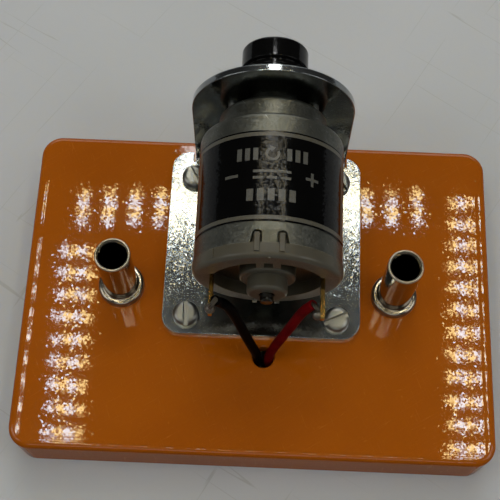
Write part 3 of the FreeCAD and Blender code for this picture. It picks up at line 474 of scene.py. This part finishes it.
# The core is a stack of steel laminations between two fibre insulators, and each of its poles
# carries a coil of enamelled copper wire, wound in neat layers.
def make_stacked(name, colours, metallic, roughness, pitch, depth, radial):
    """A finish with stripes: laminations along the shaft, or layers of wire away from it."""
    material, tree, place = start_material(name)
    parts = add_node(tree, "SeparateXYZ", {0: place}).outputs
    along = distance_from(tree, parts[0], can_x, parts[2], can_height) if radial else parts[1]
    stripe = add_node(tree, "Math", {0: along, 1: pitch}, operation="DIVIDE")
    stripe = add_node(tree, "Math", {0: stripe, 1: 0.5}, operation="PINGPONG")
    fine, gloss = grain(tree, place, 0.3, 3.0, roughness)
    height = add_node(tree, "Math", {0: fine, 1: 0.2, 2: stripe}, operation="MULTIPLY_ADD")
    return end_material(material, {"Metallic": metallic, "Roughness": gloss,
                                   "Base Color": two_toned(tree, stripe, 0.05, 0.3, *colours),
                                   "Normal": relief(tree, height, depth)})


finish(make_stacked("steel_laminations", ("4A4846", "8B8986"), 1.0, (0.35, 0.5), 0.5, 0.05, False),
       "armature_core")
finish(make_stacked("enamelled_copper_wire", ("5A2410", "C0622C"), 0.9, (0.2, 0.35), 0.28, 0.12, True),
       "coil_1", "coil_2", "coil_3")
finish(make_dull("red_vulcanised_fibre", ("6E2A1C", "7E3526"), (0.5, 0.6), 0.3, 0.008),
       "core_insulators", "thrust_washers")

# The commutator has three copper bars, skimmed bright, on a hub of dark moulded resin. A white
# nylon spacer keeps the core off the rear bearing.
finish(make_plated_metal("skimmed_copper", ("A86038", "C57E52"), (0.2, 0.3), 0.15, 0.004, 0.03),
       "commutator_segment_1", "commutator_segment_2", "commutator_segment_3")
finish(make_dull("brown_phenolic_resin", ("3A2216", "4A2E1E"), (0.4, 0.5), 0.3, 0.006), "commutator_hub")
finish(make_dull("white_nylon", ("C9C6BC", "D6D3CA"), (0.4, 0.5), 0.4, 0.006), "shaft_spacer")


# The pulley is moulded in black acetal and pressed on the shaft: glossy, with a very fine grain
# that breaks up the highlights, and faint rings from the turned mould. Both are drawn coarser than
# they are, so that they show.
def make_acetal():
    material, tree, place = start_material("black_acetal")
    fine, gloss = grain(tree, place, 0.2, 3.0, (0.06, 0.1))
    height = add_node(tree, "Math", {0: turned_rings(tree, place, 2.2, "Y"), 1: 0.25, 2: fine},
                      operation="MULTIPLY_ADD")
    facets = faceted(tree, place, 0.27, 0.01, 0.15)
    return end_material(material, {"IOR": 1.36, "Roughness": gloss,
                                   "Base Color": two_toned(tree, fine, 0.4, 0.7, "030303", "070707"),
                                   "Normal": relief(tree, height, 0.0015, facets=facets)})


finish(make_acetal(), "drive_pulley")

# The leads are tinned copper strand in soft PVC, one black and one red. They are stripped at both
# ends, soldered to the terminals and the tags, and drop through one hole in the base.
base_top = 9.4
frame_shift = -3.45
lead_radius, core_bore, strand_radius = 0.75, 0.42, 0.12
lead_sides, strand_sides = 36, 10
lead_step, strand_step = 0.3, 0.12
strand_lay, strand_overlap = 0.13, 0.4
black_route = [
    (-5.95, -8.8, 20.7), (-5.75, -8.55, 19.5), (-4.5, -8.5, 18.3), (-3.6, -8.8, 16.0),
    (-2.75, -9.25, 12.9), (-1.7, -9.95, 8.9), (-0.65, -10.5, 5.0), (0.2, -10.8, 1.5),
    (0.5, -10.9, -1.5), (0.3, -10.95, -4.1), (-1.2, -11.3, -5.6), (-4.2, -11.9, -6.1),
    (-8.2, -12.1, -6.1), (-12.0, -11.6, -6.0), (-15.2, -10.3, -5.6), (-16.9, -8.6, -4.95),
]
red_route = [
    (8.0, -7.95, 18.1), (6.95, -8.15, 16.5), (6.1, -8.5, 14.1), (5.0, -9.15, 10.2),
    (3.6, -9.85, 6.0), (2.45, -10.55, 2.2), (2.06, -10.9, -1.5), (2.3, -10.95, -4.1),
    (3.9, -11.2, -5.6), (6.9, -11.7, -6.1), (10.4, -12.0, -6.1), (13.5, -11.4, -5.9),
    (15.7, -10.2, -5.5), (16.9, -8.6, -4.95),
]
black_top_strand = [(-5.95, -8.8, 20.7), (-6.25, -9.25, 20.7), (-6.6, -9.6, 19.8), (-6.7, -9.35, 18.6)]
red_top_strand = [(8.0, -7.95, 18.1), (8.35, -8.3, 18.35), (8.6, -8.8, 18.2), (8.6, -9.35, 17.7)]
black_tag_strand = [(-16.9, -8.6, -4.95), (-17.45, -7.9, -4.6), (-17.75, -7.3, -4.2)]
red_tag_strand = [(16.9, -8.6, -4.95), (17.45, -7.9, -4.6), (17.75, -7.3, -4.2)]


def centreline(route):
    """The smooth line of a route, whose heights count from the base's top, in millimetres."""
    curve = bpy.data.curves.new("route", "CURVE")
    curve.dimensions = "3D"
    spline = curve.splines.new("NURBS")
    spline.points.add(len(route) - 1)
    for control, (x, y, z) in zip(spline.points, route):
        control.co = (x, y + frame_shift, z + base_top, 1)
    spline.order_u = 3
    spline.use_endpoint_u = True
    spline.resolution_u = 10
    holder = bpy.data.objects.new("route", curve)
    mesh = bpy.data.meshes.new_from_object(holder)
    line = [v.co.copy() for v in mesh.vertices]
    bpy.data.objects.remove(holder)
    return line


class Path:
    """A line with a distance along it and a steady sideways direction, which a section follows."""

    def __init__(self, route):
        self.line = centreline(route)
        self.stops = [0.0]
        for before, after in zip(self.line, self.line[1:]):
            self.stops.append(self.stops[-1] + (after - before).length)
        self.length = self.stops[-1]
        side = Vector((0, 0, 1)).cross(self.line[1] - self.line[0]).normalized()
        self.sides = []
        for index in range(len(self.line)):
            heading = self.heading(index)
            side = (side - heading * side.dot(heading)).normalized()
            self.sides.append(side)

    def heading(self, index):
        before = self.line[max(index - 1, 0)]
        after = self.line[min(index + 1, len(self.line) - 1)]
        return (after - before).normalized()

    def at(self, distance):
        """The place and two sideways directions at a distance from the start."""
        held = min(max(distance, 0.0), self.length)
        index = max(i for i, stop in enumerate(self.stops[:-1]) if stop <= held)
        part = (distance - self.stops[index]) / (self.stops[index + 1] - self.stops[index])
        place = self.line[index].lerp(self.line[index + 1], part)
        near = min(max(part, 0), 1)
        heading = self.heading(index).lerp(self.heading(index + 1), near).normalized()
        side = self.sides[index].lerp(self.sides[index + 1], near)
        side = (side - heading * side.dot(heading)).normalized()
        return place, side, heading.cross(side)


def swept(path, rings, sides, offset=0.0, phase=0.0, twist=0.0):
    """A round section along a path, through rings (distance, radius), closed at both ends.

    An offset moves the section off the path, and a twist in turns per millimetre winds it round.
    """
    verts, faces = [], []
    for distance, radius in rings:
        place, side, other = path.at(distance)
        turn = phase + 2 * math.pi * twist * distance
        middle = place + (side * math.cos(turn) + other * math.sin(turn)) * offset
        for corner in range(sides):
            angle = 2 * math.pi * corner / sides
            verts.append(middle + (side * math.cos(angle) + other * math.sin(angle)) * radius)
    for ring in range(len(rings) - 1):
        for corner in range(sides):
            after = (corner + 1) % sides
            low, high = ring * sides, (ring + 1) * sides
            faces.append((low + corner, low + after, high + after, high + corner))
    faces.append(tuple(range(sides))[::-1])
    faces.append(tuple(range((len(rings) - 1) * sides, len(rings) * sides)))
    return verts, faces


def joined(parts):
    """Several (verts, faces) as one."""
    verts, faces = [], []
    for part_verts, part_faces in parts:
        faces += [tuple(len(verts) + index for index in face) for face in part_faces]
        verts += part_verts
    return verts, faces


def insulation(path):
    """A lead's insulation, with a cut, slightly rounded end and an open bore at both ends."""
    end = [(0.45, core_bore - 0.04), (0.03, core_bore), (0.0, core_bore + 0.05),
           (0.0, lead_radius - 0.09), (0.05, lead_radius - 0.02), (0.13, lead_radius)]
    steps = round(path.length / lead_step)
    body = [(path.length * step / steps, lead_radius) for step in range(1, steps)]
    far_end = [(path.length - distance, radius) for distance, radius in reversed(end)]
    return swept(path, end + body + far_end, lead_sides)


def bare_strand(path):
    """Seven fine wires, six wound round one, from inside the insulation to the solder."""
    steps = max(8, round(path.length / strand_step))
    rings = [(-strand_overlap + (path.length + strand_overlap) * step / steps, strand_radius)
             for step in range(steps + 1)]
    return joined([swept(path, rings, strand_sides, offset=2.02 * strand_radius if wire else 0,
                         phase=wire * math.pi / 3, twist=strand_lay) for wire in range(7)])


def make_pvc(name, colours, roughness):
    """Soft PVC: a low shine, a faint waviness from the extruder and finger-worn patches."""
    material, tree, place = start_material(name)
    fine, gloss = grain(tree, place, 0.22, 2.0, roughness)
    wavy = add_node(tree, "TexNoise", {"Vector": place, "Scale": 1 / 1.6, "Detail": 1.0})
    height = add_node(tree, "Math", {0: wavy, 1: 3.0, 2: fine}, operation="MULTIPLY_ADD")
    return end_material(material, {"IOR": 1.08, "Base Color": two_toned(tree, wavy, 0.35, 0.65, *colours),
                                   "Roughness": gloss, "Normal": relief(tree, height, 0.006)})


wire_finish = make_plated_metal("tinned_copper_wire", ("443F35", "5E5950"), (0.35, 0.5), 0.3, 0.001, 0)
leads = [("black", black_route, (black_top_strand, black_tag_strand), ("010101", "030303"), (0.35, 0.45)),
         ("red", red_route, (red_top_strand, red_tag_strand), ("4C0408", "5C060A"), (0.4, 0.5))]
for name, route, strands, colours, roughness in leads:
    lead = new_piece(name + "_lead_insulation", *insulation(Path(route)),
                     make_pvc(name + "_pvc", colours, roughness))
    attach(lead, "stator")
    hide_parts(name + "_lead")
    wires = new_piece(name + "_lead_strands", *joined([bare_strand(Path(strand)) for strand in strands]),
                      wire_finish)
    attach(wires, "stator")
    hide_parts(name + "_lead_wire")

# Solder flows over each wire's end and the metal it is joined to. It sets as a drop, bright, grey
# and slightly lumpy.
solder_finish = make_plated_metal("tin_solder", ("5A564D", "716D65"), (0.3, 0.45), 0.4, 0.008, 0)
finish(solder_finish, "solder_joints")


# The motor stands on a plain pale board, lit by soft lamps round it and by a square lamp of short
# light bars above it, whose bars show as bright patches in the polished base. The board's scuffs
# are drawn wider than hairlines are, so that they show.
board_half = 3000
ramp_start, ramp_end, ramp_strength = 150, 700, 0.42


def make_board():
    """The board, which glows a little far away, so that it fades into the pale walls round it."""
    material, tree, place = start_material("pale_board")
    broad = add_node(tree, "TexNoise", {"Vector": place, "Scale": 1 / 60, "Detail": 2.0})
    fine, gloss = grain(tree, place, 0.7, 3.0, (0.5, 0.65))
    scuffs = hairlines(tree, place, (-32, 70, 0.3, 0.08), (57, 60, 0.3, 0.07))
    colour = marked(tree, two_toned(tree, broad, 0.3, 0.7, "A6AAAD", "ADB0B4"), scuffs, 0.5, "8F918C")
    away = add_node(tree, "VectorMath", {0: place}, operation="LENGTH").outputs[1]
    away = add_node(tree, "MapRange", {0: away, 1: ramp_start, 2: ramp_end, 3: 0.0, 4: ramp_strength})
    rays = add_node(tree, "LightPath").outputs
    seen = add_node(tree, "Math", {0: rays["Is Glossy Ray"], 1: rays["Is Transmission Ray"]},
                    operation="MAXIMUM")
    seen = add_node(tree, "Math", {0: rays["Is Camera Ray"], 1: seen}, operation="MAXIMUM")
    glow = add_node(tree, "Math", {0: seen, 1: away}, operation="MULTIPLY")
    return end_material(material, {"IOR": 1.45, "Base Color": colour, "Roughness": gloss,
                                   "Normal": relief(tree, fine, 0.01),
                                   "Emission Color": colour, "Emission Strength": glow})


board_corners = [(side * board_half, end * board_half, 0)
                 for side, end in ((-1, -1), (1, -1), (1, 1), (-1, 1))]
floor = new_piece("floor", board_corners, [(0, 1, 2, 3)], make_board())


def add_lamp(name, place, target, size, radiance):
    """A soft rectangular lamp at a place, turned to a target, with an even brightness."""
    lamp = bpy.data.lights.new(name, "AREA")
    lamp.shape = "RECTANGLE"
    lamp.size, lamp.size_y = size[0] * MM, size[1] * MM
    lamp.energy = radiance * math.pi * lamp.size * lamp.size_y
    holder = bpy.data.objects.new(name, lamp)
    bpy.context.scene.collection.objects.link(holder)
    holder.location = Vector(place) * MM
    holder.rotation_euler = (Vector(target) - Vector(place)).to_track_quat("-Z", "Y").to_euler()
    holder.visible_camera = False


def make_glow(name, colour, radiance):
    material = bpy.data.materials.new(name)
    material.use_nodes = True
    material.node_tree.nodes.clear()
    glow = add_node(material.node_tree, "Emission", {"Color": linear(colour), "Strength": radiance})
    add_node(material.node_tree, "OutputMaterial", {"Surface": glow})
    return material


# Each row of bars has a count, its first bar's middle, the step to the next bar, and a bar's size.
ring_height = 309.4
bar_radiance = 27.0
bar_parts = 4
bar_length, bar_width = 17.0, 4.4
bar_rows = [
    (20, (-84.5, 116.8), (0.22, -10.7), (bar_length, bar_width)),
    (20, (99.4, 149.7), (-0.38, -10.8), (bar_length, bar_width)),
    (14, (-84.1, 139.7), (12.3, 0.54), (bar_width, bar_length + 2)),
    (14, (-84.1, -98.0), (12.3, 0.0), (bar_width, bar_length)),
]
corners, patches, warmth = [], [], []
for row, (count, (start_x, start_y), (step_x, step_y), (width, depth)) in enumerate(bar_rows):
    for step in range(count):
        x, y = start_x + step_x * step, start_y + step_y * step
        for part in range(bar_parts):
            cut = (part / bar_parts - 0.5, (part + 1) / bar_parts - 0.5)
            (left, right), (front, back) = (cut, (-0.5, 0.5)) if width > depth else ((-0.5, 0.5), cut)
            patches.append(tuple(range(len(corners), len(corners) + 4)))
            corners += [(x + a * width, y + b * depth, ring_height)
                        for a, b in ((left, front), (left, back), (right, back), (right, front))]
            warmth.append((part + row) % 2)
ring_lamp = new_piece("ring_lamp", corners, patches, make_glow("cool_light", "E6F4FF", bar_radiance),
                      smooth=False)
ring_lamp.data.materials.append(make_glow("warm_light", "FFE196", bar_radiance))
ring_lamp.data.polygons.foreach_set("material_index", warmth)
ring_lamp.visible_camera = False

middle_of_motor = (0, 0, 15)
add_lamp("soft_left", (-540, -130, 420), middle_of_motor, (400, 420), 2.1)
add_lamp("soft_right", (540, -130, 420), middle_of_motor, (400, 420), 2.1)
add_lamp("soft_back", (0, 640, 420), middle_of_motor, (700, 420), 1.85)
add_lamp("soft_front", (0, -600, 420), middle_of_motor, (500, 160), 2.0)
add_lamp("far_bar", (-3, 184, 309), (-3, 184, 0), (70, 34), 14.0)

world = bpy.data.worlds.new("light_tent")
bpy.context.scene.world = world
world.use_nodes = True
tent = world.node_tree
tent.nodes.clear()
sky = add_node(tent, "SeparateXYZ", {0: add_node(tent, "TexCoord").outputs["Generated"]}).outputs
walls = two_toned(tent, sky[1], 0.6, 0.9, "3A3A39", "747472")
overhead = add_node(tent, "MapRange", {0: sky[2], 1: 0.6, 2: 0.85})
tent_light = add_node(tent, "Background", {"Color": marked(tent, walls, overhead, 1.0, "484848"),
                                           "Strength": 1.0})
add_node(tent, "OutputWorld", {"Surface": tent_light})

# The camera stands where the photograph was taken, close above the viewer's side, and looks down
# steeply through a lens of ordinary length.
camera_place = (-0.38, -58.78, 168.48)
tilt, heading, roll = math.radians(21.425), math.radians(1.03), math.radians(1.373)
camera = bpy.data.objects.new("camera", bpy.data.cameras.new("camera"))
bpy.context.scene.collection.objects.link(camera)
camera.data.sensor_width = 36.0
camera.data.lens = 75.15
camera.data.clip_start = 0.01
turns = Matrix.Rotation(heading, 4, "Z") @ Matrix.Rotation(tilt, 4, "X") @ Matrix.Rotation(roll, 4, "Z")
camera.matrix_world = Matrix.Translation(Vector(camera_place) * MM) @ turns
bpy.context.scene.camera = camera
bpy.context.scene.view_settings.view_transform = "Standard"

bpy.context.view_layer.update()
